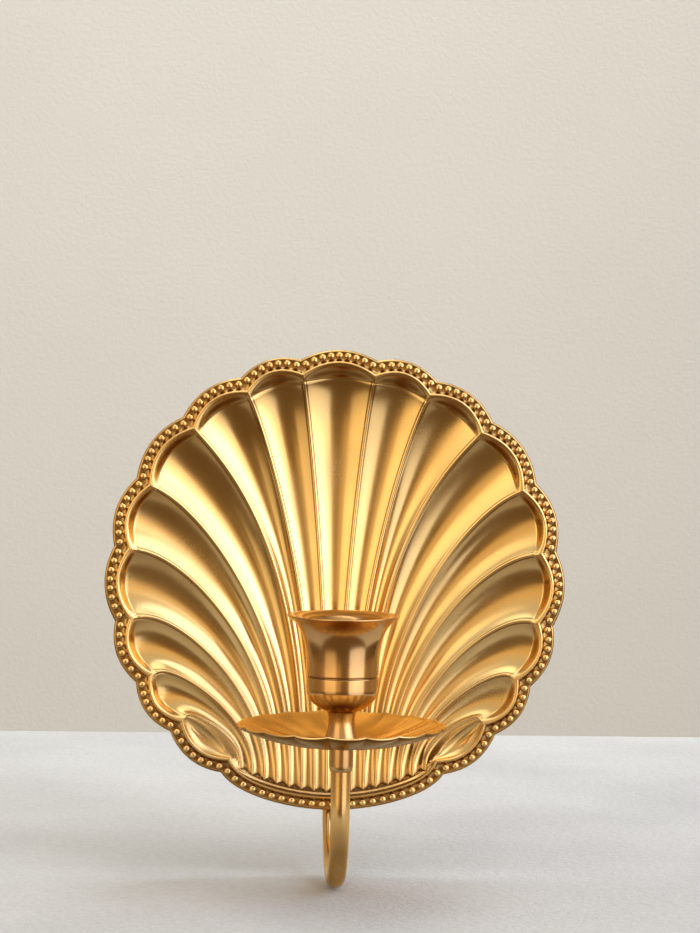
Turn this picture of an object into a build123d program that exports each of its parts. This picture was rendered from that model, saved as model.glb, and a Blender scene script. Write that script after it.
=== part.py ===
from build123d import *

# Shell wall sconce: a pressed brass scallop plate with a beaded edge, and a bent rod arm that comes
# from behind the plate's foot and carries a fluted drip pan and a turned candle cup.
# Millimetres. X to the right and Y towards the wall as one faces the sconce, Z up.
# The origin is the middle of the hanging hole, in the plane of the wall.

import os
from math import atan2, cos, degrees, pi, radians, sin, sqrt

# ---------------------------------------------------------------- shell plate
PLATE_RADIUS = 101.5  # out to the tips of the lobes
SHEET = 1.0  # brass sheet of the plate, measured towards the wall
LOBE_ENDS = (10.0, 26.0, 43.8, 63.4, 81.8, 101.1, 117.8, 133.1, 150.0)
# degrees from the top at which one side's lobes meet; the last one is the start of the plain foot
LOBE_NOTCH = 3.0  # how far the plate's edge draws in between two lobes
CREST_NOTCH = 4.5  # the same, along the ridge inside the beads
NOTCH_FADE = 8  # power by which the plain foot leaves the last notch
CREST_INSET = 6.2  # from the plate's edge to that ridge
CREST_WIDTH = 1.0  # flat top of the ridge
GROOVE_INSET = 4.2  # from the plate's edge to the groove that the beads stand in
FLANGE_WIDTH = 0.9  # narrow outer border
GROOVE_DEPTH = 1.1  # groove below the ridge
FLANGE_DROP = 0.8  # edge below the groove
BEAD_HEIGHT = 1.5
BEAD_PITCH = 3.9  # along the lobes
FOOT_BEAD_PITCH = 4.5  # along the plain foot
DISH_DEPTH = 8.7  # pull of the ridges towards the wall, for a ridge as long as the plate is high
RIM_STRAIGHT = (0.10, 0.10, 0.18, 0.16, 0.20, 0.19, 0.13, 0.08)
# share of each ridge that leaves the rim squarely, from the top ridge round to the lowest
FOOT_STRAIGHT = (0.45, 0.47, 0.57, 0.48, 0.44, 0.40, 0.39, 0.37)
# share of each ridge that runs straight up from its foot
FOOT_RADIUS = 93.0  # from the plate's middle to the lower ends of the flutes
FOOT_PITCH = 5.45  # from one ridge to the next at those ends
FOOT_DEPTH = 1.2  # the plain band under the flutes, below the rim's ridge
FLUTE_END = 3.0  # length of the rounded lower end of a flute
FLUTE_END_DROP = 0.3  # how far a ridge sinks along it
WALL_WIDTH = 3.2  # sloping wall at the upper end of a flute, at its two sides
WALL_MIDDLE = 4.8  # the same, in its middle
WALL_DROP = 0.9  # ridge below the rim's ridge, where that wall starts
FLUTE_HOLLOW = (0.12, 0.22, 0.13, 0.12)  # hollow of a flute over its width, from foot to rim
LEAF_HOLLOW = (0.03, 0.16, 0.16, 0.06)  # the same for the lowest, leaf-shaped lobe
LEAF_SPLIT = 0.2  # share of the leaf's edge that each of its two corners takes

# ---------------------------------------------------------------- arm
ROD_RADIUS = 4.0
ARM_REACH = 78.0  # from the rear leg's axis to the candle's axis
LEG_WALL_GAP = 2.2  # rear leg to wall
SPIGOT_RADIUS = 2.5  # threaded rear end of the rod
SPIGOT_LENGTH = 19.0

# ---------------------------------------------------------------- rear fittings
HANG_HEIGHT = 52.0  # hanging hole above the plate's middle
HANG_HOLE_RADIUS = 3.5
STRAP_SHEET = 1.5
STRAP_HEIGHT = 16.0
STRAP_SPAN = 44.0  # between the two legs of the strap
STRAP_FOOT = 8.0
LUG_WIDTH = 16.0
LUG_HEIGHT = 12.0
LUG_INSET = 33.5  # top of the lug above the plate's lower edge
LUG_CORNER = 1.5
WASHER_RADIUS = 4.5
WASHER_THICKNESS = 1.0
NUT_FLATS = 8.0
NUT_HEIGHT = 4.0
SOLDER = 0.2  # film of solder under the strap and the lug
SPIGOT_CLEARANCE = 0.1
PLATE_CLEARANCE = 0.3  # nut and washer to the plate's back

# ---------------------------------------------------------------- pan, ferrule and cup
LIP_BELOW_MIDDLE = 8.7  # cup's lip below the plate's middle
LIP_RADIUS = 23.4
LIP_LAND = 1.0  # flat top of the lip
FLARE_HEIGHT = 13.0  # depth below the lip at which the body starts to flare
FLARE_TURN = 2.5  # depth below the lip at which the flare turns outwards
FLARE_WAIST = 1.0  # how much wider than the body the cup is there
BODY_RADIUS = 14.6
BORE_RADIUS = 11.3
BORE_LENGTH = 20.0
FUNNEL_DEPTH = 13.0  # from the lip down to the bore
FUNNEL_TURN = 1.5  # depth below the lip at which the funnel turns downwards
FUNNEL_WAIST = 3.2  # how much wider than the bore the funnel is there
SCORE_DEPTH = 0.4  # turned line around the cup
SCORE_WIDTH = 0.8
SCORE_BELOW_LIP = 25.2
BOTTOM_HEIGHT = 10.0  # rounded bottom of the cup, from the neck up to the body
BOTTOM_TURN = 4.5  # height above the neck at which the bottom turns upwards
NECK_RADIUS = 5.7  # at its waist
NECK_WAIST = 8.0  # from the foot up to the waist
NECK_TOP_RADIUS = 6.5
NECK_HEIGHT = 12.9  # from the foot up to the rounded bottom
FOOT_RING_RADIUS = 7.2
FOOT_RING_HEIGHT = 1.2
CUP_HEIGHT = 53.0
PAN_RADIUS = 43.5
PAN_DEPTH = 8.0
PAN_SHEET = 1.1
PAN_TURN = 0.62  # share of its radius at which the pan starts to rise
PAN_PETALS = 18
PAN_NOTCH = 0.6  # how far the pan's edge draws in between two petals
PETAL_SAG = 0.45  # hollow of a petal below its two edges
HUB_RADIUS = 9.0
FERRULE_RADIUS = 5.0
FERRULE_LENGTH = 11.0
FERRULE_TAPER = 2.6  # length of its tapered lower end
FERRULE_LIP = 0.4  # its thickness at the lower edge
FERRULE_CLEARANCE = 0.05
ROD_SHORT = 2.4  # rod's end below the pan
STUD_RADIUS = 2.5
STUD_CLEARANCE = 0.1
STUD_IN_CUP = 11.0
STUD_IN_ROD = 10.0
ARM_DROP = 116.7  # lowest point of the rod's axis below the lip

# ---------------------------------------------------------------- places worked out from the sizes
PLATE_Z = -HANG_HEIGHT
LIP_Z = PLATE_Z - LIP_BELOW_MIDDLE
PAN_FLOOR_Z = LIP_Z - CUP_HEIGHT
PAN_BASE_Z = PAN_FLOOR_Z - PAN_SHEET
LEG_Y = -LEG_WALL_GAP - ROD_RADIUS
CUP_Y = LEG_Y - ARM_REACH
BEND_RADIUS = ARM_REACH / 2
BEND_Z = LIP_Z - ARM_DROP + BEND_RADIUS
ROD_TOP_Z = PAN_BASE_Z - ROD_SHORT
LUG_TOP_Z = PLATE_Z - PLATE_RADIUS + LUG_INSET
LUG_BASE_Z = LUG_TOP_Z - LUG_HEIGHT
NUT_BASE_Z = LUG_TOP_Z + WASHER_THICKNESS
NUT_TOP_Z = NUT_BASE_Z + NUT_HEIGHT
FOOT_END = LOBE_ENDS[-1]
RIDGES = len(LOBE_ENDS) - 1  # ridges on each side


# ---------------------------------------------------------------- shell plate: lines
# The plate is drawn about its own middle: X across, Z up, and Y the depth behind the rim's ridge.
def polar(radius, angle, depth=0.0):
    """A point at an angle from the top, positive to the right."""
    return Vector(radius * sin(radians(angle)), depth, radius * cos(radians(angle)))


def notch(inset):
    """Draw-in between two lobes, along a line that runs inside the plate's edge."""
    return LOBE_NOTCH + (CREST_NOTCH - LOBE_NOTCH) * inset / CREST_INSET


def lobe_ends():
    """Angles at which the lobes start and end, from the left foot over the top to the right foot."""
    return [-angle for angle in reversed(LOBE_ENDS)] + list(LOBE_ENDS)


def through(start, middle, end):
    """Control points of the parabola through three points."""
    return [start, middle * 2 - (start + end) / 2, end]


def lobe_line(start, end, inset, depth):
    """One lobe of a rim line, from notch to notch."""
    root = PLATE_RADIUS - inset - notch(inset)
    tip = polar(PLATE_RADIUS - inset, (start + end) / 2, depth)
    return through(polar(root, start, depth), tip, polar(root, end, depth))


def foot_point(angle, inset, depth):
    """A point of a rim line along the plain foot, where it soon leaves the last notch."""
    share = abs(angle - 180) / (180 - FOOT_END)
    return polar(PLATE_RADIUS - inset - notch(inset) * share**NOTCH_FADE, angle, depth)


def leaf_pieces(curve):
    """A leaf's line in three: a straight corner, the curve between, and a straight corner."""

    def blossom(s, t):
        a = curve[0] * (1 - s) + curve[1] * s
        b = curve[1] * (1 - s) + curve[2] * s
        return a * (1 - t) + b * t

    s, t = LEAF_SPLIT, 1 - LEAF_SPLIT
    first, last = blossom(s, s), blossom(t, t)
    return [curve[0], first], [first, blossom(s, t), last], [last, curve[2]]


def flip(point):
    """The same point on the other side of the plate."""
    return Vector(-point.X, point.Y, point.Z)


def ridge(number):
    """A ridge between two flutes: it leaves the rim squarely and reaches the foot upright."""
    side = 1 if number > 0 else -1
    angle = LOBE_ENDS[abs(number) - 1]
    across = (abs(number) - 0.5) * FOOT_PITCH
    foot = Vector(across, FOOT_DEPTH, -sqrt(FOOT_RADIUS**2 - across**2))
    root = PLATE_RADIUS - CREST_INSET - notch(CREST_INSET)
    inward = polar(-1, angle)
    low = foot + Vector(0, FLUTE_END_DROP, FLUTE_END)
    high = polar(root - WALL_WIDTH, angle, WALL_DROP)
    span = (high - low).length
    pull = Vector(0, DISH_DEPTH * span / (2 * root), 0)
    above_low = low + pull + Vector(0, 0, FOOT_STRAIGHT[abs(number) - 1] * span)
    below_high = high + pull + inward * RIM_STRAIGHT[abs(number) - 1] * span
    line = [low, above_low, below_high, high]
    points = [foot, *line, polar(root, angle)]
    if side < 0:
        points = [flip(p) for p in points]
    return {"foot": points[0], "line": points[1:5], "tip": points[5], "angle": side * angle}


# ---------------------------------------------------------------- shell plate: faces
def patch(*rows):
    return Face.make_bezier_surface([list(row) for row in rows])


def hollowed(left, right, hollow):
    """A flute's section between two points: a parabola as deep as its share of the width."""
    middle = (left + right) / 2 + Vector(0, hollow * (left - right).length, 0)
    return through(left, middle, right)


def flute_rows(left, right):
    """Sections of one flute, from its foot to the wall at its upper end."""
    rows = [hollowed(left["line"][i], right["line"][i], FLUTE_HOLLOW[i]) for i in range(3)]
    a, b = left["line"][3], right["line"][3]
    depth = (a.Y + b.Y) / 2 + FLUTE_HOLLOW[3] * (a - b).length
    middle_angle = (left["angle"] + right["angle"]) / 2
    tip = polar(PLATE_RADIUS - CREST_INSET - WALL_MIDDLE, middle_angle, depth)
    rows.append(through(a, tip, b))
    return rows


def flute(left, right):
    """A flute's floor, the wall at its upper end and its rounded foot."""
    rows = flute_rows(left, right)
    rim = lobe_line(left["angle"], right["angle"], CREST_INSET, 0)
    foot = [left["foot"], (left["foot"] + right["foot"]) / 2, right["foot"]]
    return [patch(*rows), patch(rows[3], rim), patch(foot, rows[0])]


def leaf_rows(last, rim):
    """Sections of the leaf, from its foot to its upper corner."""
    start, control, end = rim
    beside = [end, (end + control * 2) / 3, (start + control * 2) / 3, start]
    return [hollowed(a, b, hollow) for a, b, hollow in zip(last["line"], beside, LEAF_HOLLOW)]


def leaf(side):
    """The lowest lobe: a leaf-shaped hollow between the last ridge and the rim."""
    last = ridge(side * RIDGES)
    lobe = lobe_line(side * LOBE_ENDS[-2], side * FOOT_END, CREST_INSET, 0)
    upper, middle, lower = leaf_pieces(lobe)
    rows = leaf_rows(last, middle)
    end = [last["foot"], (last["foot"] + lower[1]) / 2, lower[1]]
    top = rows[3]
    corner = [Edge.make_bezier(*top), Edge.make_line(*upper), Edge.make_line(upper[0], top[0])]
    return [patch(*rows), patch(end, rows[0]), Face.make_surface(corner)]


def foot_angles():
    """Angles along the plain foot: its two ends and the foot of each ridge."""
    feet = [ridge(k)["foot"] for k in range(RIDGES, 0, -1)]
    right = [FOOT_END] + [degrees(atan2(p.X, p.Z)) for p in feet]
    return right + [360 - angle for angle in reversed(right)]


def ridge_wire():
    """The ridge that the flutes end at: the lobes, the two leaves and the plain foot."""
    edges = []
    for start, end in zip(lobe_ends()[:-1], lobe_ends()[1:]):
        curve = lobe_line(start, end, CREST_INSET, 0)
        if FOOT_END in (abs(start), abs(end)):
            edges += [Edge.make_bezier(*piece) for piece in leaf_pieces(curve)]
        else:
            edges.append(Edge.make_bezier(*curve))
    foot = [foot_point(angle, CREST_INSET, 0) for angle in foot_angles()]
    return Wire(edges + [Edge.make_line(a, b) for a, b in zip(foot[:-1], foot[1:])])


def rim_line(inset, depth):
    """Points of a closed rim line, one between every two beads."""
    points = []
    for start, end in zip(lobe_ends()[:-1], lobe_ends()[1:]):
        a, b, c = lobe_line(start, end, inset, depth)
        count = beads_along(start, end, BEAD_PITCH)
        for i in range(count):
            t = i / count
            points.append(a * (1 - t) ** 2 + b * (2 * t * (1 - t)) + c * t**2)
    count = beads_along(FOOT_END, 360 - FOOT_END, FOOT_BEAD_PITCH)
    step = (360 - 2 * FOOT_END) / count
    return points + [foot_point(FOOT_END + i * step, inset, depth) for i in range(count)]


def beads_along(start, end, pitch):
    """The number of beads between two angles."""
    bead_circle = PLATE_RADIUS - (LOBE_NOTCH + GROOVE_INSET + FLANGE_WIDTH) / 2
    return max(round(radians(end - start) * bead_circle / pitch), 1)


def cells(inner, outer):
    """Corners of the cells between two rim lines."""
    following = zip(inner[1:] + inner[:1], outer[1:] + outer[:1])
    return [(a, b, c, d) for a, b, (c, d) in zip(inner, outer, following)]


def strip(inner, outer):
    """A sloping strip between two rim lines."""
    return [patch([a, b], [c, d]) for a, b, c, d in cells(inner, outer)]


def beads(inner, outer):
    """A row of studs between two rim lines, each rising from its cell's edges to a point."""
    faces = []
    for a, b, c, d in cells(inner, outer):
        peak = (a + b + c + d) / 4 - Vector(0, BEAD_HEIGHT, 0)
        for left, right in ((a, b), (b, d), (d, c), (c, a)):
            faces.append(Face(Wire.make_polygon([left, right, peak], close=True)))
    return faces


def rim_faces():
    """The rim in front, from the flat crest past the beads to the edge."""
    crest = rim_line(CREST_INSET - CREST_WIDTH, 0)
    groove = rim_line(GROOVE_INSET, GROOVE_DEPTH)
    border = rim_line(FLANGE_WIDTH, GROOVE_DEPTH)
    edge = rim_line(0, GROOVE_DEPTH + FLANGE_DROP)
    top = Face(Wire.make_polygon(crest, close=True), [ridge_wire()])
    return [top, *strip(crest, groove), *beads(groove, border), *strip(border, edge)]


def rim_back_faces():
    """The rim behind, a sheet's thickness deeper, and the plate's outer edge."""
    crest = rim_line(CREST_INSET - CREST_WIDTH, SHEET)
    groove = rim_line(GROOVE_INSET, GROOVE_DEPTH + SHEET)
    edge = rim_line(0, GROOVE_DEPTH + FLANGE_DROP)
    behind = rim_line(0, GROOVE_DEPTH + FLANGE_DROP + SHEET)
    hole = ridge_wire().moved(Location((0, SHEET, 0)))
    top = Face(Wire.make_polygon(crest, close=True), [hole])
    return [top, *strip(crest, groove), *strip(groove, behind), *strip(behind, edge)]


def foot_band():
    """The plain band between the flutes' lower ends and the rim."""
    angles = foot_angles()
    ridges = [ridge(k)["foot"] for k in range(RIDGES, 0, -1)]
    ridges += [flip(p) for p in reversed(ridges)]
    rim = [foot_point(angle, CREST_INSET, 0) for angle in angles]
    between = zip(ridges[:-1], ridges[1:], rim[1:-2], rim[2:-1])
    faces = [patch([a, b], [c, d]) for a, b, c, d in between]
    for foot, tip, beside in ((ridges[0], rim[0], rim[1]), (ridges[-1], rim[-1], rim[-2])):
        faces.append(Face(Wire.make_polygon([foot, tip, beside], close=True)))
    return faces


def flute_pairs():
    """Every two neighbouring ridges, from the left round to the right."""
    ridges = [ridge(-k) for k in range(RIDGES, 0, -1)] + [ridge(k) for k in range(1, RIDGES + 1)]
    return list(zip(ridges[:-1], ridges[1:]))


def bezier_shares(t):
    """Weights of a quadratic and of a cubic curve's control points."""
    u = 1 - t
    return (u * u, 2 * u * t, t * t), (u**3, 3 * u * u * t, 3 * u * t * t, t**3)


def sheet_back(left, right, low, high, along=100, across=12):
    """Depth of the plate's back where it is deepest between two widths and two heights."""
    deepest = 0.0
    for pair in flute_pairs():
        points = [tuple(point) for row in flute_rows(*pair) for point in row]
        for i in range(along + 1):
            for j in range(across + 1):
                quadratic, cubic = bezier_shares(j / across)[0], bezier_shares(i / along)[1]
                weights = [a * b for a in cubic for b in quadratic]
                x, y, z = (sum(w * p[axis] for w, p in zip(weights, points)) for axis in range(3))
                if left <= x <= right and low <= z <= high:
                    deepest = max(deepest, y)
    return deepest + SHEET


def shell_backplate():
    """One pressed sheet: the front faces, the same flutes a sheet's thickness behind, and the rim."""
    field = foot_band() + leaf(1) + leaf(-1)
    for left, right in flute_pairs():
        field += flute(left, right)
    behind = [face.moved(Location((0, SHEET, 0))) for face in field]
    return Solid(Shell(field + behind + rim_faces() + rim_back_faces()))


# ---------------------------------------------------------------- rear fittings and arm
def box(x0, x1, y0, y1, z0, z1):
    return Pos((x0 + x1) / 2, (y0 + y1) / 2, (z0 + z1) / 2) * Box(x1 - x0, y1 - y0, z1 - z0)


def upright(radius, base, top, y=0.0):
    """A vertical cylinder."""
    return Pos(0, y, (base + top) / 2) * Cylinder(radius, top - base)


def rim_y():
    """The rim's ridge, set so that the plate's back clears the nut and washer on the rod."""
    nut_corner = NUT_FLATS / sqrt(3)
    window = max(nut_corner, WASHER_RADIUS)
    back = sheet_back(-window, window, LUG_TOP_Z - PLATE_Z, NUT_TOP_Z - PLATE_Z)
    return LEG_Y - window - PLATE_CLEARANCE - back


def hanger_strap(plate_y):
    """A strip soldered across the back, with a raised middle that lies on the wall."""
    half, low, high = STRAP_SPAN / 2, -STRAP_HEIGHT / 2, STRAP_HEIGHT / 2
    inner, outer = half - STRAP_SHEET, half + STRAP_FOOT
    seat = plate_y + sheet_back(inner, outer, low - PLATE_Z, high - PLATE_Z) + SOLDER
    strap = box(-half, half, -STRAP_SHEET, 0, low, high)
    side = box(inner, half, seat, 0, low, high) + box(inner, outer, seat, seat + STRAP_SHEET, low, high)
    strap += side + mirror(side, about=Plane.YZ)
    hole = Pos(0, -STRAP_SHEET / 2, 0) * Rot(90, 0, 0) * Cylinder(HANG_HOLE_RADIUS, 3 * STRAP_SHEET)
    return strap - hole


def arm_lug(plate_y):
    """A drilled block soldered to the plate's back; the rod's spigot stands in it."""
    half = LUG_WIDTH / 2
    back = sheet_back(-half, half, LUG_BASE_Z - PLATE_Z, LUG_TOP_Z - PLATE_Z)
    block = box(-half, half, plate_y + back + SOLDER, 0, LUG_BASE_Z, LUG_TOP_Z)
    block = chamfer(block.edges().filter_by(Axis.Z), LUG_CORNER)
    return block - upright(SPIGOT_RADIUS + SPIGOT_CLEARANCE, LUG_BASE_Z, LUG_TOP_Z, LEG_Y)


def arm_rod():
    """A round rod bent to a U, turned down at the rear end and tapped at the front end."""
    start = Vector(0, LEG_Y, LUG_BASE_Z)
    bend_start, bend_end = Vector(0, LEG_Y, BEND_Z), Vector(0, CUP_Y, BEND_Z)
    lowest = Vector(0, (LEG_Y + CUP_Y) / 2, BEND_Z - BEND_RADIUS)
    path = Wire(
        [
            Edge.make_line(start, bend_start),
            Edge.make_three_point_arc(bend_start, lowest, bend_end),
            Edge.make_line(bend_end, Vector(0, CUP_Y, ROD_TOP_Z)),
        ]
    )
    rod = sweep(Plane(origin=start, z_dir=(0, 0, -1)) * Circle(ROD_RADIUS), path=path)
    rod += upright(SPIGOT_RADIUS, LUG_BASE_Z, LUG_BASE_Z + SPIGOT_LENGTH, LEG_Y)
    return rod - upright(STUD_RADIUS + STUD_CLEARANCE, ROD_TOP_Z - STUD_IN_ROD, ROD_TOP_Z, CUP_Y)


def lug_washer():
    ring = upright(WASHER_RADIUS, LUG_TOP_Z, NUT_BASE_Z, LEG_Y)
    return ring - upright(SPIGOT_RADIUS + SPIGOT_CLEARANCE, LUG_TOP_Z, NUT_BASE_Z, LEG_Y)


def lug_nut():
    outline = RegularPolygon(NUT_FLATS / 2, 6, major_radius=False)
    nut = Pos(0, LEG_Y, NUT_BASE_Z) * extrude(outline, NUT_HEIGHT)
    return nut - upright(SPIGOT_RADIUS + SPIGOT_CLEARANCE, NUT_BASE_Z, NUT_TOP_Z, LEG_Y)


# ---------------------------------------------------------------- pan, ferrule, stud and cup
def turned(outline):
    """A lathe-turned piece on the candle's axis; heights are measured from the cup's lip."""
    return Pos(0, CUP_Y, LIP_Z) * revolve(make_face(outline), Axis.Z)


def at(radius, height):
    return (radius, 0, height)


def rod_ferrule():
    """A collar that closes the joint of rod and pan."""
    top = -CUP_HEIGHT - PAN_SHEET
    base = top - FERRULE_LENGTH
    bore = ROD_RADIUS + FERRULE_CLEARANCE
    inside = STUD_RADIUS + STUD_CLEARANCE
    shoulder = top - ROD_SHORT
    waist = base + FERRULE_TAPER
    lip = bore + FERRULE_LIP
    outside = [at(inside, top), at(FERRULE_RADIUS, top), at(FERRULE_RADIUS, waist), at(lip, base)]
    bored = [at(bore, base), at(bore, shoulder), at(inside, shoulder)]
    return turned(Polyline(*outside, *bored, close=True).edges())


def drip_pan():
    """A shallow dish of petals about a flat hub, drilled for the stud."""
    rows_at = ((HUB_RADIUS, 0), (PAN_TURN * PAN_RADIUS, 0), (PAN_RADIUS, PAN_DEPTH))
    thickness = Vector(0, 0, -PAN_SHEET)
    top, under, edge, hub = [], [], [], []

    def point(radius, turn, height):
        return Vector(radius * cos(turn), radius * sin(turn), height)

    for i in range(PAN_PETALS):
        start, end = 2 * pi * i / PAN_PETALS, 2 * pi * (i + 1) / PAN_PETALS
        rows = []
        for number, (reach, height) in enumerate(rows_at):
            share = number / (len(rows_at) - 1)
            root = reach - PAN_NOTCH * share
            middle = point(reach, (start + end) / 2, height - PETAL_SAG * share)
            rows.append(through(point(root, start, height), middle, point(root, end, height)))
        face = patch(*rows)
        top.append(face)
        under.append(face.moved(Location(thickness)))
        edge.append(patch(rows[-1], [p + thickness for p in rows[-1]]))
        hub.append(Edge.make_bezier(*rows[0]))
    centre = Face(Wire(hub))
    pan = Solid(Shell([centre, centre.moved(Location(thickness)), *top, *under, *edge]))
    hole = Pos(0, 0, -PAN_SHEET / 2) * Cylinder(STUD_RADIUS + STUD_CLEARANCE, 3 * PAN_SHEET)
    return Pos(0, CUP_Y, PAN_FLOOR_Z) * (pan - hole)


def candle_cup():
    """One turned piece: foot ring, waisted neck, round-bottomed cup with a scored line, flared lip."""
    base = -CUP_HEIGHT
    stud_hole = STUD_RADIUS + STUD_CLEARANCE
    stud_top = base + STUD_IN_CUP
    floor = -FUNNEL_DEPTH - BORE_LENGTH
    score_top = -SCORE_BELOW_LIP + SCORE_WIDTH / 2
    score_base = -SCORE_BELOW_LIP - SCORE_WIDTH / 2
    scored = BODY_RADIUS - SCORE_DEPTH
    ring_top = at(FOOT_RING_RADIUS, base + FOOT_RING_HEIGHT)
    waist, neck_top = at(NECK_RADIUS, base + NECK_WAIST), at(NECK_TOP_RADIUS, base + NECK_HEIGHT)
    bottom_turn = at(BODY_RADIUS, neck_top[2] + BOTTOM_TURN)
    body_base = at(BODY_RADIUS, neck_top[2] + BOTTOM_HEIGHT)
    lip = [at(LIP_RADIUS, 0), at(LIP_RADIUS - LIP_LAND, 0)]
    flare_base, flare_turn = at(BODY_RADIUS, -FLARE_HEIGHT), at(BODY_RADIUS + FLARE_WAIST, -FLARE_TURN)
    funnel_turn = at(BORE_RADIUS + FUNNEL_WAIST, -FUNNEL_TURN)
    bore_top = at(BORE_RADIUS, -FUNNEL_DEPTH)
    foot = [at(0, stud_top), at(stud_hole, stud_top), at(stud_hole, base), at(FOOT_RING_RADIUS, base)]
    score = [at(scored, score_base), at(scored, score_top), at(BODY_RADIUS, score_top)]
    edges = [
        Polyline(*foot, ring_top),
        Edge.make_bezier(*through(Vector(ring_top), Vector(waist), Vector(neck_top))),
        Edge.make_bezier(neck_top, bottom_turn, body_base),
        Polyline(body_base, at(BODY_RADIUS, score_base), *score),
        Edge.make_bezier(score[-1], flare_base, flare_turn, lip[0]),
        Polyline(*lip),
        Edge.make_bezier(lip[-1], funnel_turn, at(BORE_RADIUS, -FUNNEL_DEPTH / 2), bore_top),
        Polyline(bore_top, at(BORE_RADIUS, floor), at(0, floor), at(0, stud_top)),
    ]
    return turned([edge for piece in edges for edge in piece.edges()])


def cup_stud():
    """A threaded stud that draws cup, pan and ferrule down on the rod."""
    base = ROD_TOP_Z - STUD_IN_ROD
    top = PAN_FLOOR_Z + STUD_IN_CUP
    return upright(STUD_RADIUS, base, top, CUP_Y)


def main():
    os.makedirs("parts", exist_ok=True)
    plate_y = rim_y()
    print("rim's ridge at Y", round(plate_y, 2))
    pieces = {
        "shell_backplate": Pos(0, plate_y, PLATE_Z) * shell_backplate(),
        "hanger_strap": hanger_strap(plate_y),
        "arm_lug": arm_lug(plate_y),
        "arm_rod": arm_rod(),
        "lug_washer": lug_washer(),
        "lug_nut": lug_nut(),
        "rod_ferrule": rod_ferrule(),
        "drip_pan": drip_pan(),
        "candle_cup": candle_cup(),
        "cup_stud": cup_stud(),
    }
    for name, piece in pieces.items():
        export_step(piece, f"parts/{name}.step")


main()
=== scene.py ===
from math import atan2, cos, pi, radians, sin, sqrt, tan

import bmesh
import bpy
from bpy.props import FloatProperty, FloatVectorProperty, IntProperty, PointerProperty
from mathutils import Matrix, Vector


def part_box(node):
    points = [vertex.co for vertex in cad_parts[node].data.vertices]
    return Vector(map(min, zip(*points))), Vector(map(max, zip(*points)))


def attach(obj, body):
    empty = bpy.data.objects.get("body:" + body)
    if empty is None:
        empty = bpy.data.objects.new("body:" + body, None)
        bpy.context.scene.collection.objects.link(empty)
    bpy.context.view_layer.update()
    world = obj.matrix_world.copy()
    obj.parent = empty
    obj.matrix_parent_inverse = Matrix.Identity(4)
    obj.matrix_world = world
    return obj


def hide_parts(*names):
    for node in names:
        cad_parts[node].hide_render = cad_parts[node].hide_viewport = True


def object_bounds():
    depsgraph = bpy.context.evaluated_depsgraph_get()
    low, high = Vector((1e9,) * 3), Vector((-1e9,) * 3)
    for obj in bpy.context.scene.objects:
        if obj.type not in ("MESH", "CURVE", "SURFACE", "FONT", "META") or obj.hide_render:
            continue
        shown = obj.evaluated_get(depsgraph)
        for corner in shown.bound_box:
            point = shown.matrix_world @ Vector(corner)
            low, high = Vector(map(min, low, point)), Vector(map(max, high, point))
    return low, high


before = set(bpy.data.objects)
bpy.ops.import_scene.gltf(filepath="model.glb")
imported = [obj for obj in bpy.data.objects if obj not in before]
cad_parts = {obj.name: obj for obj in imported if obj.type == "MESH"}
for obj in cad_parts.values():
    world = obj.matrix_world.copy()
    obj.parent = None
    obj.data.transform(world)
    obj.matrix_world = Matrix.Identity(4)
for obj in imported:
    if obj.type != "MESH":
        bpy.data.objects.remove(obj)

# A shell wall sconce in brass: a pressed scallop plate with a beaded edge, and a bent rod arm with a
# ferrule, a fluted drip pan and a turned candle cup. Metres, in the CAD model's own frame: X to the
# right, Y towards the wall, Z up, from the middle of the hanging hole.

bl_info = {
    "name": "Shell wall sconce",
    "version": (1, 0, 0),
    "blender": (4, 5, 0),
    "location": "3D View > Sidebar > Sconce",
    "description": "Builds a brass candle sconce with a scallop-shell plate, and a stage to see it on",
    "category": "Add Mesh",
}

CAD_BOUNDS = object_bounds()
NEGLIGIBLE = 2e-6  # points this close are one point
CUP_CENTRE, ROD_CENTRE = 0.0001, 0.0002  # radii of the innermost rings
TABLE_GAP, TABLE_ROUNDING = 0.0005, 0.012

# Steps of the meshes.
FLUTE_ROWS, FLUTE_END_ROWS, WALL_ROWS, BAND_ROWS = 60, 7, 14, 5
LEAF_ROWS, LEAF_COLUMNS, CORNER_ROWS, STRIP_ROWS = 44, 28, 6, 4
BEAD_RINGS, BEAD_SEGMENTS = 6, 16
CUP_SEGMENTS, FERRULE_SEGMENTS, ROD_SEGMENTS, BEND_ROWS = 144, 96, 56, 72
PETAL_COLUMNS, PAN_ROWS, PAN_EDGE_ROWS = 14, 36, 6


def size(name, description, default):
    """A length that a user would change."""
    return FloatProperty(name=name, description=description, default=default, unit="LENGTH", precision=5)


def share(name, description, default):
    """A plain factor."""
    return FloatProperty(name=name, description=description, default=default, precision=3)


def shares(name, description, default):
    """A row of plain factors."""
    return FloatVectorProperty(name=name, description=description, default=default, size=len(default))


def rotation(name, description, degrees):
    """An angle, given in degrees."""
    return FloatProperty(name=name, description=description, default=radians(degrees), unit="ROTATION")


def location(name, description, default):
    """A place in metres."""
    return FloatVectorProperty(name=name, description=description, default=default, size=3, unit="LENGTH")


def colour(name, description, default):
    """A linear colour."""
    return FloatVectorProperty(name=name, description=description, default=default, size=3, subtype="COLOR")


def middle_of(node):
    """The middle of a CAD node's box."""
    low, high = (Vector(corner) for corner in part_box(node))
    return (low + high) / 2


def axis_point(node, height):
    """The point at that height on a CAD node's upright axis."""
    middle = middle_of(node)
    return Vector((middle.x, middle.y, height))


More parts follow.
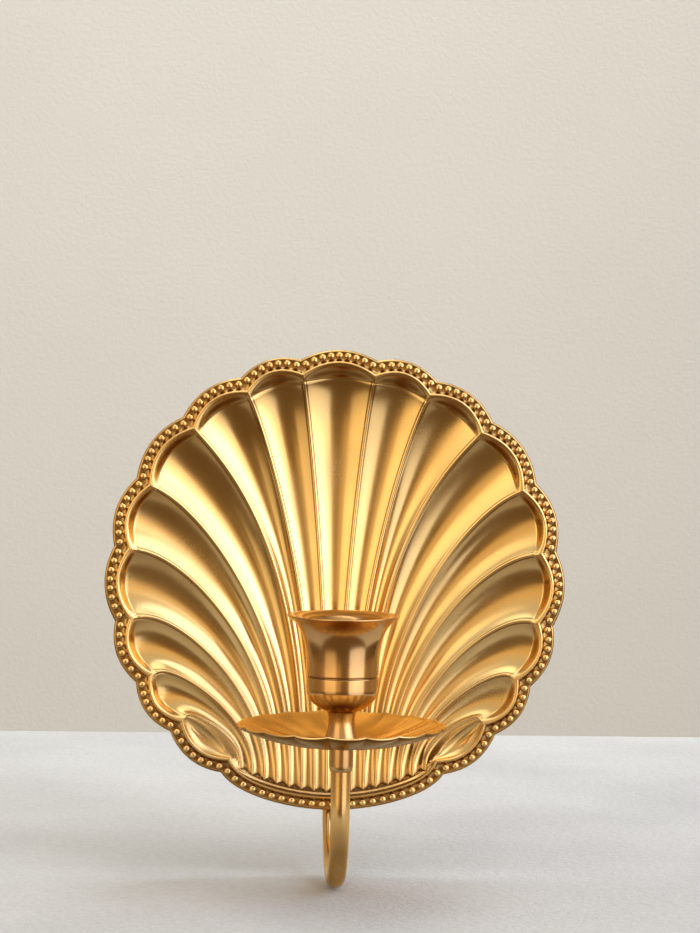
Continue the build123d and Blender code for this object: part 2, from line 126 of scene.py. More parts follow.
# ---------------------------------------------------------------- sizes and colours
class PlateSettings(bpy.types.PropertyGroup):
    """Sizes of the pressed shell plate."""

    radius: size("Radius", "Out to the tips of the lobes", 0.1015)
    sheet: size("Sheet", "Thickness of the brass sheet", 0.001)
    lobe_ends: FloatVectorProperty(
        name="Lobe ends",
        description="Angles from the top at which one side's lobes meet, down to the plain foot",
        default=[radians(a) for a in (10.0, 26.0, 43.8, 63.4, 81.8, 101.1, 117.8, 133.1, 150.0)],
        size=9,
        unit="ROTATION",
    )
    lobe_notch: size("Lobe notch", "Draw-in of the edge between two lobes", 0.003)
    crest_notch: size("Crest notch", "Draw-in of the inner ridge between two lobes", 0.0045)
    notch_fade: share("Notch fade", "Power by which the plain foot leaves the last notch", 8.0)
    crest_inset: size("Crest inset", "From the edge in to the rim's inner ridge", 0.0062)
    groove_inset: size("Groove inset", "From the edge in to the groove of the beads", 0.0042)
    flange_width: size("Border width", "Narrow outer border", 0.0009)
    groove_depth: size("Groove depth", "Groove below the ridge", 0.0011)
    flange_drop: size("Border drop", "Edge below the groove", 0.0008)
    bead_pitch: size("Bead pitch", "From bead to bead along the lobes", 0.0039)
    foot_bead_pitch: size("Foot bead pitch", "From bead to bead along the plain foot", 0.0045)
    bead_radius: size("Bead radius", "Radius of a bead", 0.00165)
    bead_height: size("Bead height", "Top of a bead above the groove", 0.0015)
    dish_depth: size("Dish depth", "Pull of the ridges towards the wall", 0.0087)
    rim_straight: shares(
        "Rim straight",
        "Share of each ridge that leaves the rim squarely, from the top ridge round to the lowest",
        (0.10, 0.10, 0.18, 0.16, 0.20, 0.19, 0.13, 0.08),
    )
    foot_straight: shares(
        "Foot straight",
        "Share of each ridge that runs upright from its foot",
        (0.45, 0.47, 0.57, 0.48, 0.44, 0.40, 0.39, 0.37),
    )
    foot_radius: size("Foot radius", "From the middle to the lower ends of the flutes", 0.093)
    foot_pitch: size("Foot pitch", "From ridge to ridge at the lower ends", 0.00545)
    foot_depth: size("Foot depth", "Plain band below the rim's ridge", 0.0012)
    flute_end: size("Flute end", "Length of the rounded lower end", 0.003)
    # Painted shade that darkens the flutes' narrow lower ends.
    foot_shade: share("Foot film", "Tarnish at the flutes' lower ends", 0.45)
    flute_end_drop: size("Flute end drop", "How far a ridge sinks along that end", 0.0003)
    wall_width: size("Wall width", "Sloping wall at a flute's upper end, at its two sides", 0.0032)
    wall_middle: size("Wall middle", "The same, in the middle of the top flute", 0.0068)
    wall_drop: size("Wall drop", "Ridge below the rim where that wall starts", 0.0009)
    hollow: shares(
        "Flute hollow",
        "Hollow of a flute over its width, at four places from foot to rim",
        (0.12, 0.22, 0.13, 0.12),
    )
    leaf_hollow: shares("Leaf hollow", "The same for the lowest, leaf-shaped lobe", (0.03, 0.16, 0.16, 0.06))
    leaf_shoulder: size("Leaf shoulder", "Smooth band between the last ridge and the leaf, at its foot", 0.0045)
    leaf_tip: share("Leaf tip", "Share of the leaf's length at which the last ridge ends", 0.94)
    flank_share: share("Flank share", "Share of a flute's hollow that its steep flanks take", 0.10)
    flank_power: share("Flank steepness", "How steep those flanks are", 5.0)
    crest_half: size("Crest", "Half the width of the bead along each ridge", 0.00085)
    crease_depth: size("Crease", "Crease beside that bead, below its top", 0.0004)
    edge_rounding: size("Edge rounding", "How much the plate's outer edge is rounded off", 0.0001)
    # Painted shade: darker in the crease beside each ridge's bead, on the sloping wall at a flute's upper end
    # and in the middle of the leaf.
    crease_shade: share("Crease film", "Tarnish in the crease", 0.7)
    wall_shade: share("Wall film", "Tarnish of the sloping wall at a flute's upper end", 0.35)
    leaf_shade: share("Leaf film", "Tarnish in the middle of the leaf", 0.1)
    band_film: share("Band film", "Tarnish of the plain band and corners at the foot", 0.12)
    back_film: share("Back film", "Tarnish of the plate's back", 0.45)


class CupSettings(bpy.types.PropertyGroup):
    """Sizes of the turned candle cup and the ferrule."""

    lip_radius: size("Lip radius", "Radius of the flared lip", 0.0234)
    lip_land: size("Lip land", "Flat top of the lip", 0.001)
    flare_height: size("Flare height", "Depth below the lip at which the body starts to flare", 0.016)
    flare_start: size("Flare start", "Pull outwards at that depth", 0.00015)
    flare_middle: size("Flare middle", "Pull outwards at half that depth", 0.0006)
    flare_end: size("Flare end", "Pull outwards at a quarter of that depth", 0.003)
    lip_edge: size("Lip edge", "Height of the lip's upright edge", 0.0006)
    body_radius: size("Body radius", "Radius of the cup's body", 0.015)
    bore_radius: size("Bore radius", "Radius of the candle's bore", 0.0113)
    bore_length: size("Bore length", "Length of the straight bore", 0.020)
    funnel_depth: size("Funnel depth", "From the lip down to the bore", 0.013)
    funnel_turn: size("Funnel turn", "Depth below the lip at which the funnel turns downwards", 0.0015)
    funnel_waist: size("Funnel waist", "How much wider than the bore the funnel is there", 0.0032)
    score_depth: size("Score depth", "Turned line around the cup", 0.0004)
    score_width: size("Score width", "Width of that line", 0.0008)
    score_below_lip: size("Score place", "From the lip down to that line", 0.0252)
    bottom_height: size("Bottom height", "Rounded bottom, from the neck up to the body", 0.010)
    bottom_turn: size("Bottom turn", "Height above the neck at which the bottom turns upwards", 0.004)
    bottom_spread: size("Bottom spread", "Radius at which the bottom starts to rise", 0.0095)
    bottom_rise: size("Bottom rise", "Rise of the bottom up to there", 0.0012)
    neck_radius: size("Neck radius", "Radius of the neck at its waist", 0.0055)
    neck_waist: size("Neck waist", "From the foot up to the waist", 0.008)
    neck_top_radius: size("Neck top radius", "Radius of the neck under the rounded bottom", 0.0061)
    neck_height: size("Neck height", "From the foot up to the rounded bottom", 0.0129)
    ring_radius: size("Foot ring radius", "Radius of the foot ring", 0.0072)
    ring_height: size("Foot ring height", "Height of the foot ring", 0.0012)
    height: size("Height", "From foot to lip", 0.053)
    stud_opening: size("Stud opening", "Radius of the opening in the foot", 0.002)
    soft_edge: size("Soft edge", "Rounded arris", 0.00025)
    # Painted shade: darker inside the mouth and the bore, in the turned line and where the bottom meets the
    # neck.
    mouth_shade: share("Mouth film", "Tarnish inside the lip", 0.5)
    bore_shade: share("Bore film", "What the bore's tarnish is more than that", 0.35)
    score_shade: share("Score film", "Tarnish in the turned line", 0.8)
    neck_shade: share("Neck film", "Tarnish where the bottom meets the neck", 0.2)
    neck_shade_reach: size("Neck film reach", "How far that tarnish reaches", 0.004)
    ferrule_radius: size("Ferrule radius", "Radius of the collar under the pan", 0.005)
    ferrule_length: size("Ferrule length", "Length of the collar", 0.011)
    ferrule_taper: size("Ferrule taper", "Tapered lower end of the collar", 0.0026)
    ferrule_lip: size("Ferrule lip", "Thickness of its lower edge", 0.0004)
    ferrule_edge: size("Ferrule edge", "Rounded arris of the collar", 0.0003)
    ferrule_opening: size("Ferrule opening", "Radius of the opening in its top", 0.0028)


class PanSettings(bpy.types.PropertyGroup):
    """Sizes of the fluted drip pan."""

    radius: size("Radius", "Out to the tips of the petals", 0.0435)
    depth: size("Depth", "Rise from the floor to the edge", 0.008)
    sheet: size("Sheet", "Thickness of the pan", 0.0011)
    turn: share("Turn", "Share of the radius at which the pan starts to rise", 0.62)
    petals: IntProperty(name="Petals", description="Petals round the edge", default=18)
    notch: size("Notch", "Draw-in of the edge between two petals", 0.0006)
    sag: size("Sag", "Hollow of a petal below its edges", 0.0007)
    hub_radius: size("Hub radius", "Flat middle under the cup", 0.009)
    # The hub, middle, under and hub-under shares are painted shade: darker under the cup, towards the middle
    # and on the underside; the inside share is the petals' tarnish.
    hub_shade: share("Hub film", "Tarnish of the flat middle", 0.5)
    inside_film: share("Inside film", "Tarnish of the petals' upper side", 0.42)
    middle_shade: share("Middle film", "What is added to it towards the middle", 0.2)
    underside_shade: share("Under film", "Tarnish of the underside", 0.9)
    hub_underside_shade: share("Hub under film", "The same in its flat middle", 0.6)


class ArmSettings(bpy.types.PropertyGroup):
    """Sizes of the bent rod."""

    rod_radius: size("Rod radius", "Radius of the rod", 0.004)
    reach: size("Reach", "From the rear leg's axis to the candle's axis", 0.078)
    spigot_radius: size("Spigot radius", "Turned-down rear end", 0.0025)
    spigot_length: size("Spigot length", "Length of that end", 0.019)
    spigot_chamfer: size("Spigot chamfer", "Bevel at the end of the spigot", 0.0005)
    in_ferrule: size("In ferrule", "Length of the rod inside the ferrule", 0.008)
    soft_edge: size("Soft edge", "Rounded arris of the small fittings", 0.00025)


class FinishSettings(bpy.types.PropertyGroup):
    """Colours and wear of the brass."""

    bright: colour("Bright brass", "Polished high places", (0.92, 0.65, 0.28))
    plain: colour("Plain brass", "Where most of the metal lies", (0.90, 0.58, 0.21))
    # The brown towards which tarnished places and painted shade are darkened.
    tarnish_and_shade: colour("Tarnish", "Brown film in the low places", (0.19, 0.082, 0.018))
    rosy: colour("Rosy brass", "Turned pieces", (0.74, 0.45, 0.19))
    plate_roughness: share("Plate roughness", "Gloss of the pressed plate", 0.2)
    turned_roughness: share("Turned roughness", "Gloss of the turned pieces", 0.18)
    fitting_roughness: share("Fitting roughness", "Gloss of the parts behind", 0.42)


class StageSettings(bpy.types.PropertyGroup):
    """Wall, table, lamps and camera."""

    wall_distance: size("Wall distance", "Backdrop behind the sconce", 1.5)
    table_height: size("Table height", "Table top above the floor", 0.75)
    table_behind: size("Table behind", "Table top behind the sconce", 0.45)
    table_before: size("Table before", "Table top in front of the sconce", 0.045)
    table_side: size("Table side", "Half the table's width", 0.27)
    floor_colour: colour("Floor colour", "Wooden floor", (0.25, 0.16, 0.075))
    wall_colour: colour("Wall colour", "Pale warm grey", (0.745, 0.765, 0.735))
    table_colour: colour("Table colour", "Off-white", (0.72, 0.735, 0.74))
    room_side: size("Room side", "Half the room's width and its depth in front", 4.0)
    room_height: size("Room height", "Top of the wall", 3.0)
    slab: size("Slab", "Thickness of wall and floor", 0.1)
    table_lamp: location("Table lamp", "Where the lamp over the table hangs", (0.0, 0.05, 1.5))
    wall_lamp: location("Wall lamp", "Where the wall's lamp hangs, from the wall's middle", (0.6, -0.5, 2.2))
    wall_aim: location("Wall aim", "What it points at, from the same place", (0.4, 0.0, 0.3))
    camera_place: location("Camera place", "Where the camera stands", (-0.0592, -1.1899, 0.0415))
    camera_turn: rotation("Camera turn", "Turned to the right", 3.15)
    camera_tilt: rotation("Camera tilt", "Tilted down", 2.10)
    camera_roll: rotation("Camera roll", "Rolled", 0.97)
    camera_lens: share("Lens", "Focal length in mm for a 36 mm high picture", 103.4)


# ---------------------------------------------------------------- curves and meshes
def bezier(points, t):
    """A point of a Bezier curve of any degree; numbers or vectors."""
    points = list(points)
    while len(points) > 1:
        points = [a * (1 - t) + b * t for a, b in zip(points, points[1:])]
    return points[0]


def through(start, middle, end):
    """Control points of the parabola through three points."""
    return [start, middle * 2 - (start + end) / 2, end]


def smooth(t):
    """An even rise from 0 to 1 that starts and ends level."""
    return t * t * (3 - 2 * t)


def even(count):
    """Even steps from 0 to 1."""
    return [i / count for i in range(count + 1)]


def crowded(count):
    """Steps from 0 to 1 that crowd towards both ends."""
    return [(1 - cos(pi * i / count)) / 2 for i in range(count + 1)]


class Sheet:
    """Grids of points that are joined where they meet. Each point may carry a darkening from 0 to 1: painted
    shade in creases, grooves, hollows and undersides, and tarnish elsewhere.
    """

    def __init__(self):
        self.points, self.tarnish_and_shade, self.faces = [], [], []

    def grid(self, rows, tarnish_and_shade=0.0, closed=False):
        """Faces between neighbouring rows of points; tarnish is a number or a table like rows."""
        first, width = len(self.points), len(rows[0])
        for number, row in enumerate(rows):
            self.points += row
            self.tarnish_and_shade += tarnish_and_shade[number] if isinstance(tarnish_and_shade, list) else [tarnish_and_shade] * width
        for i in range(len(rows) - 1):
            for j in range(width if closed else width - 1):
                k = (j + 1) % width
                a, b = first + i * width, first + (i + 1) * width
                self.faces.append((a + j, a + k, b + k, b + j))

    def piece(self, name, place, material):
        """The finished object, its points moved by place."""
        mesh = bpy.data.meshes.new(name)
        mesh.from_pydata([p + place for p in self.points], [], self.faces)
        layer = mesh.attributes.new("tarnish_and_shade", "FLOAT", "POINT")
        layer.data.foreach_set("value", self.tarnish_and_shade)
        build = bmesh.new()
        build.from_mesh(mesh)
        bmesh.ops.remove_doubles(build, verts=build.verts, dist=NEGLIGIBLE)
        bmesh.ops.recalc_face_normals(build, faces=build.faces)
        for face in build.faces:
            face.smooth = True
        build.to_mesh(mesh)
        build.free()
        piece = bpy.data.objects.new(name, mesh)
        bpy.context.scene.collection.objects.link(piece)
        mesh.materials.append(material)
        return piece


def turned_point(radius, turn, height):
    """A point about the upright axis."""
    return Vector((radius * cos(turn), radius * sin(turn), height))


def turned(sheet, outline, segments, tarnish_and_shade=None):
    """A lathe-turned surface from an outline of (radius, height) points."""
    turns = [2 * pi * i / segments for i in range(segments)]
    rows = [[turned_point(radius, turn, height) for turn in turns] for radius, height in outline]
    table = [[value] * segments for value in tarnish_and_shade] if tarnish_and_shade else 0.0
    sheet.grid(rows, table, closed=True)


def curve_outline(*controls, count=24):
    """Points along a Bezier outline, the first left out."""
    controls = [Vector(c) for c in controls]
    return [tuple(bezier(controls, t)) for t in even(count)[1:]]


def eased(outline, radius, steps=4):
    """The outline with each sharp corner turned into a small round.

    A point close beside the round keeps the shading of a long straight stretch even.
    """
    result = [outline[0]]
    for before, corner, after in zip(outline, outline[1:], outline[2:]):
        a, b, c = Vector(before), Vector(corner), Vector(after)
        left, right = (a - b), (c - b)
        if min(left.length, right.length) < NEGLIGIBLE or left.angle(right) > radians(150):
            result.append(corner)
            continue
        start = b + left.normalized() * min(radius, left.length / 2)
        end = b + right.normalized() * min(radius, right.length / 2)
        if left.length > 4 * radius:
            result.append(tuple(b + left.normalized() * 1.5 * radius))
        result += [tuple(bezier([start, b, end], t)) for t in even(steps)]
        if right.length > 4 * radius:
            result.append(tuple(b + right.normalized() * 1.5 * radius))
    return result + [outline[-1]]


# ---------------------------------------------------------------- brass
def node(tree, kind, inputs=None, **settings):
    """A shader node with its settings; an input is a value or another node's socket."""
    made = tree.nodes.new(kind)
    for name, value in settings.items():
        setattr(made, name, value)
    for name, value in (inputs or {}).items():
        if isinstance(value, bpy.types.NodeSocket):
            tree.links.new(value, made.inputs[name])
        else:
            made.inputs[name].default_value = value
    return made


def noise(tree, place, scale, detail, roughness=0.5):
    """Noise over the metal, from 0 to 1."""
    inputs = {"Vector": place, "Scale": scale, "Detail": detail, "Roughness": roughness}
    return node(tree, "ShaderNodeTexNoise", inputs).outputs["Fac"]


def spread(tree, value, low, high, to_low=0.0, to_high=1.0):
    """Takes one range to another and stays inside it."""
    inputs = {"Value": value, "From Min": low, "From Max": high, "To Min": to_low, "To Max": to_high}
    return node(tree, "ShaderNodeMapRange", inputs).outputs["Result"]


def combine(tree, operation, a, b=0.0, clamp=False):
    """One step of arithmetic."""
    return node(tree, "ShaderNodeMath", {0: a, 1: b}, operation=operation, use_clamp=clamp).outputs[0]


def blend_colours(tree, factor, a, b):
    """The colour from a to b at that factor."""
    made = node(tree, "ShaderNodeMix", {"Factor": factor}, data_type="RGBA")
    for socket, value in ((made.inputs[6], a), (made.inputs[7], b)):
        if isinstance(value, bpy.types.NodeSocket):
            tree.links.new(value, socket)
        else:
            socket.default_value = (*value, 1.0)
    return made.outputs[2]


CLOUD_SCALE, PATCH_SCALE, DENT_SCALE = 30.0, 11.0, 70.0  # noise of the metal, per metre
SCRATCH_HEIGHT, DENT_HEIGHT = 0.00004, 0.0006
GRAZING_TINT = (1.0, 0.84, 0.58, 1.0)  # brass stays warm where it is seen at a low angle


def brass(
    name, high, plain, tarnish_and_shade, roughness, lines=(1, 1, 1), line_scale=900.0, wear=0.35, dents=0.25, under=0.9
):
    """Brass, tarnished in clouds, with painted shade on faces that look down and in the low places, wear on the
    gloss, fine lines and slight unevenness.

    lines stretches the fine scratches: a large number along one axis packs them close across it.
    under is painted shade: how far faces that look down are darkened towards the brown.
    """
    material = bpy.data.materials.new(name)
    material.use_nodes = True
    tree = material.node_tree
    tree.nodes.clear()
    place = node(tree, "ShaderNodeTexCoord").outputs["Object"]
    stretched = node(tree, "ShaderNodeMapping", {"Vector": place, "Scale": lines}).outputs["Vector"]
    clouds = noise(tree, place, CLOUD_SCALE, 2.0)
    patches = noise(tree, place, PATCH_SCALE, 3.0)
    scratches = noise(tree, stretched, line_scale, 3.0, 0.65)

    # Per-point darkening: painted shade in creases, grooves, hollows and undersides, and tarnish on the plate's
    # back, the plain band and the pan's upper side.
    low_places = node(tree, "ShaderNodeAttribute", attribute_name="tarnish_and_shade").outputs["Fac"]
    low = combine(tree, "MULTIPLY", low_places, spread(tree, patches, 0.3, 0.6, 0.75, 1.0))
    normal = node(tree, "ShaderNodeTexCoord").outputs["Normal"]
    facing = node(tree, "ShaderNodeSeparateXYZ", {"Vector": normal}).outputs
    # Painted shade: faces that look down are darkened, added to the cloudy tarnish.
    shaded = spread(tree, facing["Z"], -0.10, -0.48, 0.0, under)
    film_and_shade = combine(tree, "ADD", spread(tree, clouds, 0.45, 0.72, 0.0, wear), shaded)
    metal = blend_colours(tree, spread(tree, patches, 0.35, 0.65), plain, high)
    colour_out = blend_colours(tree, combine(tree, "ADD", film_and_shade, low, clamp=True), metal, tarnish_and_shade)

    gloss = spread(tree, clouds, 0.3, 0.75, roughness - 0.05, roughness + 0.10)
    rough = combine(tree, "ADD", gloss, spread(tree, scratches, 0.35, 0.75, -0.01, 0.03))
    fine = node(tree, "ShaderNodeBump", {"Strength": 0.02, "Distance": SCRATCH_HEIGHT, "Height": scratches})
    uneven = noise(tree, place, DENT_SCALE, 2.0)
    soft = node(
        tree, "ShaderNodeBump",
        {"Strength": dents, "Distance": DENT_HEIGHT, "Height": uneven, "Normal": fine.outputs["Normal"]},
    )
    shader = node(
        tree, "ShaderNodeBsdfPrincipled",
        {
            "Base Color": colour_out, "Metallic": 1.0, "Roughness": rough,
            "Specular Tint": GRAZING_TINT, "Normal": soft.outputs["Normal"],
        },
    )
    output = node(tree, "ShaderNodeOutputMaterial")
    tree.links.new(shader.outputs["BSDF"], output.inputs["Surface"])
    return material


# The soft patches are painted shadow on wall and cloth, and tone on the floor boards.
SHADOW_PATCH_SCALE = 9.0  # soft patches of wall and cloth, per metre


def plain_surface(name, base, grain_and_shadow, scale, relief=0.0004):
    """A matt wall, cloth or floor.

    grain is the share by which its threads and its soft patches are darker, scale the threads' and relief their
    height; the patches are painted soft shadow on wall and cloth, and tone on the floor boards.
    """
    material = bpy.data.materials.new(name)
    material.use_nodes = True
    tree = material.node_tree
    shader = tree.nodes["Principled BSDF"]
    shader.inputs["Roughness"].default_value = 0.9
    place = node(tree, "ShaderNodeTexCoord").outputs["Object"]
    threads = noise(tree, place, scale, 2.0, 0.6)
    # Painted soft shadow on wall and cloth; on the floor boards a tone.
    patches = noise(tree, place, SHADOW_PATCH_SCALE, 2.0)
    dark = combine(
        tree, "ADD", spread(tree, threads, 0.3, 0.7, 0.0, 0.5), spread(tree, patches, 0.35, 0.65, 0.0, 0.5)
    )
    darker = tuple(c * (1 - grain_and_shadow) for c in base)
    tree.links.new(blend_colours(tree, dark, base, darker), shader.inputs["Base Color"])
    bump = node(tree, "ShaderNodeBump", {"Strength": 0.6, "Distance": relief, "Height": threads})
    tree.links.new(bump.outputs["Normal"], shader.inputs["Normal"])
    return material


def finish(name):
    """The finish of that name, made the first time it is asked for."""
    if name in bpy.data.materials:
        return bpy.data.materials[name]
    f = bpy.context.scene.sconce_finish
    bright, plain, tarnish_and_shade, rosy = (tuple(c) for c in (f.bright, f.plain, f.tarnish_and_shade, f.rosy))
    # under sets the painted shade of faces that look down.
    if name == "pressed brass":
        return brass(name, bright, plain, tarnish_and_shade, f.plate_roughness, wear=0.15, dents=0.03, under=0.65)
    if name == "pan brass":
        return brass(name, bright, plain, tarnish_and_shade, f.plate_roughness, wear=0.45, dents=0.06, under=0.8)
    if name == "turned brass":
        return brass(name, rosy, rosy, tarnish_and_shade, f.turned_roughness, (1, 1, 40), 60.0, 0.35, 0.05, under=0.25)
    if name == "rod brass":
        return brass(name, plain, rosy, tarnish_and_shade, f.turned_roughness, wear=0.35, dents=0.05, under=0.5)
    return brass(name, plain, plain, tarnish_and_shade, f.fitting_roughness, wear=0.6)


# ---------------------------------------------------------------- the plate's lines
# Drawn about the plate's own middle: X across, Z up, Y the depth behind the rim's ridge.
def polar(radius, angle, depth=0.0):
    """A point at that radius and angle from the top."""
    return Vector((radius * sin(angle), depth, radius * cos(angle)))


def notch_at(plate, inset):
    """Draw-in between two lobes, along a line inside the edge."""
    return plate.lobe_notch + (plate.crest_notch - plate.lobe_notch) * inset / plate.crest_inset


def lobe_line(plate, start, end, inset, depth):
    """One lobe of a rim line, from notch to notch."""
    root = plate.radius - inset - notch_at(plate, inset)
    tip = polar(plate.radius - inset, (start + end) / 2, depth)
    return through(polar(root, start, depth), tip, polar(root, end, depth))


def foot_point(plate, angle, inset, depth):
    """A point of a rim line along the plain foot."""
    turn = abs(angle - pi) / (pi - plate.lobe_ends[-1])
    return polar(plate.radius - inset - notch_at(plate, inset) * turn**plate.notch_fade, angle, depth)


def ridge(plate, number):
    """Foot, control points, tip and angle of the ridge between two flutes."""
    place = abs(number) - 1
    angle = plate.lobe_ends[place]
    across = (abs(number) - 0.5) * plate.foot_pitch
    foot = Vector((across, plate.foot_depth, -sqrt(plate.foot_radius**2 - across**2)))
    root = plate.radius - plate.crest_inset - plate.crest_notch
    low = foot + Vector((0, plate.flute_end_drop, plate.flute_end))
    high = polar(root - plate.wall_width, angle, plate.wall_drop)
    span = (high - low).length
    pull = Vector((0, plate.dish_depth * span / (2 * root), 0))
    above_low = low + pull + Vector((0, 0, plate.foot_straight[place] * span))
    below_high = high + pull - polar(1, angle) * plate.rim_straight[place] * span
    points = [foot, low, above_low, below_high, high, polar(root, angle)]
    if number < 0:
        points = [Vector((-p.x, p.y, p.z)) for p in points]
        angle = -angle
    return {"foot": points[0], "line": points[1:5], "tip": points[5], "angle": angle}


def crest_reach(plate, width):
    """Half the width of the bead along a ridge, less beside a narrow flute."""
    return min(plate.crest_half, 0.09 * width)


def places_across(plate, width):
    """Shares of a flute's width from ridge to ridge, crowded about the bead along each ridge."""
    reach = crest_reach(plate, width)
    near = [reach * part for part in (0, 0.3, 0.55, 0.75, 0.9, 1.0, 1.12, 1.3, 1.6)]
    floor = width / 2 - near[-1]
    rest = [near[-1] + floor * step**1.4 for step in even(11)[1:]]
    half = [place / width for place in near + rest]
    return half + [1 - place for place in reversed(half[:-1])]


def section(plate, place, width, hollow):
    """Depth and painted shade across a flute, below the line from ridge to ridge; the shade darkens the crease.

    A bead runs along the ridge with a crease beside it; then come a steep flank and an even floor.
    """
    reach = crest_reach(plate, width)
    crease = plate.crease_depth * reach / plate.crest_half
    distance = min(place, 1 - place) * width
    if distance <= reach:
        part = distance / reach
        # Painted shade in the crease beside the bead.
        return crease * part**2, plate.crease_shade * part**6
    away = 1 - (distance - reach) / (width / 2 - reach)
    flank = plate.flank_share * (1 - away**plate.flank_power)
    floor = (1 - plate.flank_share) * (1 - away**2)
    past = min(1.0, (distance - reach) / (0.5 * reach))
    depth = crease * (1 - 0.5 * smooth(past)) + (hollow - crease / 2) * (flank + floor)
    return depth, plate.crease_shade * (1 - past) ** 2


def flute_sections(plate, left, right):
    """Control points of a flute's sections between its ridges, and its hollow at each."""
    control, hollows = [], []
    for i in range(4):
        a, b = left["line"][i], right["line"][i]
        middle = (a + b) / 2
        if i == 3:
            turn = (left["angle"] + right["angle"]) / 2
            wall = plate.wall_width + (plate.wall_middle - plate.wall_width) * max(cos(turn), 0.1) ** 2
            middle = polar(plate.radius - plate.crest_inset - wall, turn, middle.y)
        control.append(through(a, middle, b))
        hollows.append(plate.hollow[i] * (a - b).length)
    return control, hollows


def flute_width(left, right, t):
    """Width of a flute at a share of its length."""
    return (bezier(left["line"], t) - bezier(right["line"], t)).length


def flute_grids(plate, left, right):
    """Points and painted shade of one flute: its rounded foot, its floor and the wall at its upper end."""
    control, hollows = flute_sections(plate, left, right)
    rim = lobe_line(plate, left["angle"], right["angle"], plate.crest_inset, 0)
    points, dark = [], []

    def floor_row(t):
        """Places, points, depths and tarnish across the floor at t."""
        width, hollow = flute_width(left, right, t), bezier(hollows, t)
        places = places_across(plate, width)
        depths, shades = zip(*(section(plate, s, width, hollow) for s in places))
        return places, [bezier([bezier(row, s) for row in control], t) for s in places], depths, shades

    places, bases, depths, shades = floor_row(0)
    for v in even(FLUTE_END_ROWS)[:-1]:
        rounded = sqrt(1 - (1 - v) ** 2)
        feet = [left["foot"].lerp(right["foot"], s) for s in places]
        points.append([a.lerp(b, v) + Vector((0, d * rounded, 0)) for a, b, d in zip(feet, bases, depths)])
        # Painted shade at the narrow lower end.
        dark.append([plate.foot_shade * (1.4 - 0.4 * v)] * len(places))
    for t in even(FLUTE_ROWS):
        places, bases, depths, shades = floor_row(t)
        points.append([base + Vector((0, d, 0)) for base, d in zip(bases, depths)])
        # Painted shade towards the flute's lower end, added to the crease's.
        film_and_shade = plate.foot_shade * max(0.0, 1 - t / 0.25)
        dark.append([min(1.0, shade + film_and_shade) for shade in shades])
    last = points[-1]
    for v in even(WALL_ROWS)[1:]:
        row = []
        for s, base in zip(places, last):
            edge = bezier(rim, s)
            point = base.lerp(edge, v)
            point.y = base.y + (edge.y - base.y) * smooth(v)
            row.append(point)
        points.append(row)
        # Painted shade on the sloping wall at the flute's upper end.
        film_and_shade = plate.wall_shade * sin(pi * min(1.0, 1.15 * v)) ** 1.5
        dark.append([film_and_shade * min(1.0, 6 * min(s, 1 - s)) for s in places])
    return points, dark


def leaf_grids(plate, side):
    """The lowest, leaf-shaped hollow on one side, the corner below it and the strip between."""
    last = ridge(plate, side * (len(plate.lobe_ends) - 1))
    start, end = side * plate.lobe_ends[-2], side * plate.lobe_ends[-1]
    rim = lobe_line(plate, start, end, plate.crest_inset, 0)
    foot, notch_root = last["foot"], rim[2]
    across = even(LEAF_COLUMNS)
    grid, dark = [], []
    for t in even(LEAF_ROWS):
        near = bezier(last["line"], min(1.0, t / plate.leaf_tip))
        if t > plate.leaf_tip:
            near = near.lerp(last["tip"], (t - plate.leaf_tip) / (1 - plate.leaf_tip))
        far = bezier(rim, 1 - t)
        width = (far - near).length
        shoulder = min(0.45 * width, plate.leaf_shoulder * (1 - t) + plate.crest_half)
        hollow = 1.5 * bezier(list(plate.leaf_hollow), t) * width * smooth(min(1.0, t / 0.12))
        row, shade = [], []
        for s in across:
            point = near.lerp(far, s)
            inside = max(0.0, s * width - shoulder) / max(width - shoulder, NEGLIGIBLE)
            point.y += hollow * (1 - abs(2 * inside - 1) ** 2)
            crest = min(1.0, s * width / plate.crest_half)
            point.y += plate.crease_depth * crest**2 * (1 - s) * min(1.0, width / plate.leaf_shoulder)
            row.append(point)
            # Painted shade, darkest in the middle of the leaf's hollow.
            shade.append(plate.leaf_shade * (1 - abs(2 * inside - 1)))
        grid.append(row)
        dark.append(shade)
    first, last_turn = atan2(foot.x, foot.z) % (2 * pi), end % (2 * pi)
    chord = [foot.lerp(notch_root, s) for s in across]
    outer = [foot_point(plate, first + (last_turn - first) * s, plate.crest_inset, 0) for s in across]
    corner = [[a.lerp(b, v) for a, b in zip(chord, outer)] for v in even(CORNER_ROWS)]
    between = [[a.lerp(b, v) for a, b in zip(chord, grid[0])] for v in even(STRIP_ROWS)]
    return [(grid, dark), (corner, plate.band_film), (between, plate.band_film)]


